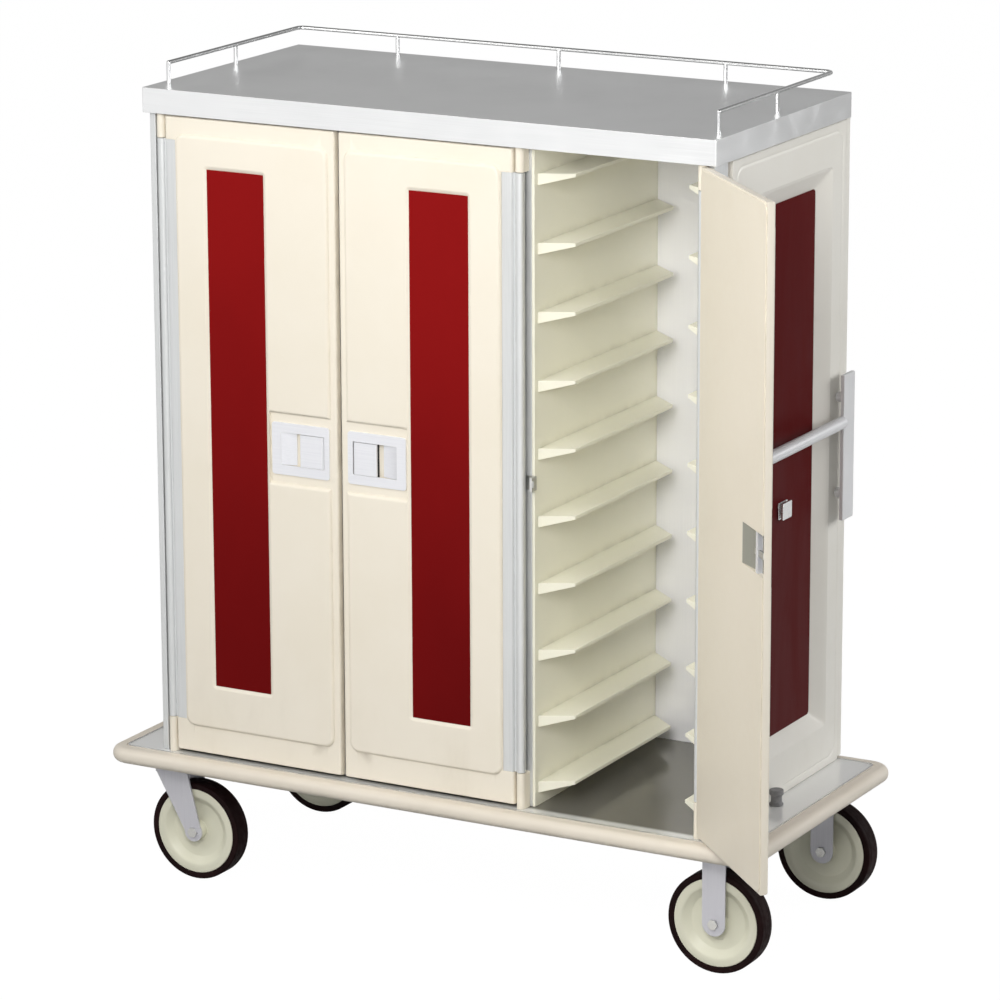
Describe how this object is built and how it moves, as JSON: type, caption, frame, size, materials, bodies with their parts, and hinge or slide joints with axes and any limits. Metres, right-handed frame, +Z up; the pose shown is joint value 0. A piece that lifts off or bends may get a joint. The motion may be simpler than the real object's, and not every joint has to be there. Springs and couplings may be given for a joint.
{
  "type": "enclosed meal tray cart",
  "caption": "Enclosed meal tray cart: tray ledges in bays behind hinged doors with paddle latches, guard rail on the roof, push bar, bumper and casters.",
  "frame": {"origin": "on the floor, under the middle of the deck", "axes": "+X along the cart towards the push bar, +Y from the doors to the back, +Z up"},
  "size_m": [1.5838, 0.8749, 1.6722],
  "materials": {
    "stainless": "brushed",
    "zinc_steel": "satin",
    "bolt_steel": "polished",
    "aluminium": "satin",
    "cream_moulding": "satin",
    "rack_moulding": "matte",
    "red_insert": "satin",
    "dark_red_insert": "satin",
    "bumper_vinyl": "satin",
    "handle_steel": "satin",
    "latch_satin": "satin",
    "stop_rubber": "matte",
    "wheel_nylon": "satin",
    "tyre": "matte"
  },
  "bodies": {
    "cabinet": {"deck_plate": "stainless", "deck_frame": "zinc_steel", "bumper_retainer": "stainless", "bumper": "bumper_vinyl", "corner_posts": "aluminium", "mullions": "aluminium", "top_frame": "zinc_steel", "end_skins": "cream_moulding", "end_inserts": "dark_red_insert", "back_panel": "cream_moulding", "back_wall": "aluminium", "roof_liner": "aluminium", "top_cap": "stainless", "gallery_rail": "stainless", "tray_rack_1": "rack_moulding", "tray_rack_2": "rack_moulding", "tray_rack_3": "rack_moulding", "push_bar": "handle_steel", "grip_plates": "handle_steel", "strap_cleat": "stainless", "bump_stops": "stop_rubber", "hinge_blocks": "cream_moulding", "hinge_pins": "zinc_steel", "latch_keepers": "stainless", "caster_plates": "zinc_steel", "rigid_forks": "zinc_steel", "rigid_axles": "bolt_steel"},
    "swivel_front": {"swivel_fork_front": "zinc_steel", "swivel_axle_front": "bolt_steel"},
    "swivel_rear": {"swivel_fork_rear": "zinc_steel", "swivel_axle_rear": "bolt_steel"},
    "wheel_front_left": {"wheel_core_front_left": "wheel_nylon", "tyre_front_left": "tyre"},
    "wheel_rear_left": {"wheel_core_rear_left": "wheel_nylon", "tyre_rear_left": "tyre"},
    "wheel_front_right": {"wheel_core_front_right": "wheel_nylon", "tyre_front_right": "tyre"},
    "wheel_rear_right": {"wheel_core_rear_right": "wheel_nylon", "tyre_rear_right": "tyre"},
    "door_1": {"door_1_skin": "cream_moulding", "door_1_liner": "cream_moulding", "door_1_insert": "red_insert", "door_1_hinge": "aluminium", "door_1_latch_body": "latch_satin"},
    "paddle_1": {"door_1_paddle": "latch_satin"},
    "bolt_1": {"door_1_bolt": "bolt_steel"},
    "door_2": {"door_2_skin": "cream_moulding", "door_2_liner": "cream_moulding", "door_2_insert": "red_insert", "door_2_hinge": "aluminium", "door_2_latch_body": "latch_satin"},
    "paddle_2": {"door_2_paddle": "latch_satin"},
    "bolt_2": {"door_2_bolt": "bolt_steel"},
    "door_3": {"door_3_skin": "cream_moulding", "door_3_liner": "cream_moulding", "door_3_insert": "red_insert", "door_3_hinge": "aluminium", "door_3_latch_body": "latch_satin"},
    "paddle_3": {"door_3_paddle": "latch_satin"},
    "bolt_3": {"door_3_bolt": "bolt_steel"}
  },
  "joints": [
    {"name": "door_1_hinge", "type": "hinge", "parent": "cabinet", "child": "door_1", "pos_m": [-0.59, -0.281, 0.927], "axis": [0, 0, -1], "range_deg": [0, 143]},
    {"name": "door_1_paddle_pull", "type": "hinge", "parent": "door_1", "child": "paddle_1", "pos_m": [-0.226, -0.2885, 0.935], "axis": [0, 0, 1], "range_deg": [0, 28], "stiffness_Nm_per_rad": 0.6},
    {"name": "door_1_bolt_slide", "type": "slide", "parent": "door_1", "child": "bolt_1", "axis": [-1, 0, 0], "range_m": [0, 0.012]},
    {"name": "door_2_hinge", "type": "hinge", "parent": "cabinet", "child": "door_2", "pos_m": [0.207, -0.281, 0.927], "axis": [0, 0, 1], "range_deg": [0, 120]},
    {"name": "door_2_paddle_pull", "type": "hinge", "parent": "door_2", "child": "paddle_2", "pos_m": [-0.154, -0.2885, 0.935], "axis": [0, 0, -1], "range_deg": [0, 28], "stiffness_Nm_per_rad": 0.6},
    {"name": "door_2_bolt_slide", "type": "slide", "parent": "door_2", "child": "bolt_2", "axis": [1, 0, 0], "range_m": [0, 0.012]},
    {"name": "door_3_hinge", "type": "hinge", "parent": "cabinet", "child": "door_3", "pos_m": [0.59, -0.281, 0.927], "axis": [0, 0, 1], "range_deg": [-135.5, 7.5]},
    {"name": "door_3_paddle_pull", "type": "hinge", "parent": "door_3", "child": "paddle_3", "pos_m": [0.83491, -0.51116, 0.935], "axis": [0, 0, -1], "range_deg": [0, 28], "stiffness_Nm_per_rad": 0.6},
    {"name": "door_3_bolt_slide", "type": "slide", "parent": "door_3", "child": "bolt_3", "axis": [-0.7133, 0.7009, 0], "range_m": [0, 0.012]},
    {"name": "front_swivel", "type": "hinge", "parent": "cabinet", "child": "swivel_front", "pos_m": [-0.6055, -0.244, 0.216], "axis": [0, 0, 1], "continuous": true},
    {"name": "front_left_wheel_spin", "type": "hinge", "parent": "swivel_front", "child": "wheel_front_left", "pos_m": [-0.5555, -0.244, 0.1015], "axis": [0, 1, 0], "continuous": true},
    {"name": "front_right_wheel_spin", "type": "hinge", "parent": "cabinet", "child": "wheel_front_right", "pos_m": [0.6195, -0.244, 0.1015], "axis": [0, 1, 0], "continuous": true},
    {"name": "rear_swivel", "type": "hinge", "parent": "cabinet", "child": "swivel_rear", "pos_m": [-0.6055, 0.244, 0.216], "axis": [0, 0, 1], "continuous": true},
    {"name": "rear_left_wheel_spin", "type": "hinge", "parent": "swivel_rear", "child": "wheel_rear_left", "pos_m": [-0.5555, 0.244, 0.1015], "axis": [0, 1, 0], "continuous": true},
    {"name": "rear_right_wheel_spin", "type": "hinge", "parent": "cabinet", "child": "wheel_rear_right", "pos_m": [0.6195, 0.244, 0.1015], "axis": [0, 1, 0], "continuous": true}
  ],
  "couplings": [
    {"joint": "door_1_bolt_slide", "follows": "door_1_paddle_pull", "m_per_rad": 0.0245},
    {"joint": "door_2_bolt_slide", "follows": "door_2_paddle_pull", "m_per_rad": 0.0245},
    {"joint": "door_3_bolt_slide", "follows": "door_3_paddle_pull", "m_per_rad": 0.0245}
  ]
}
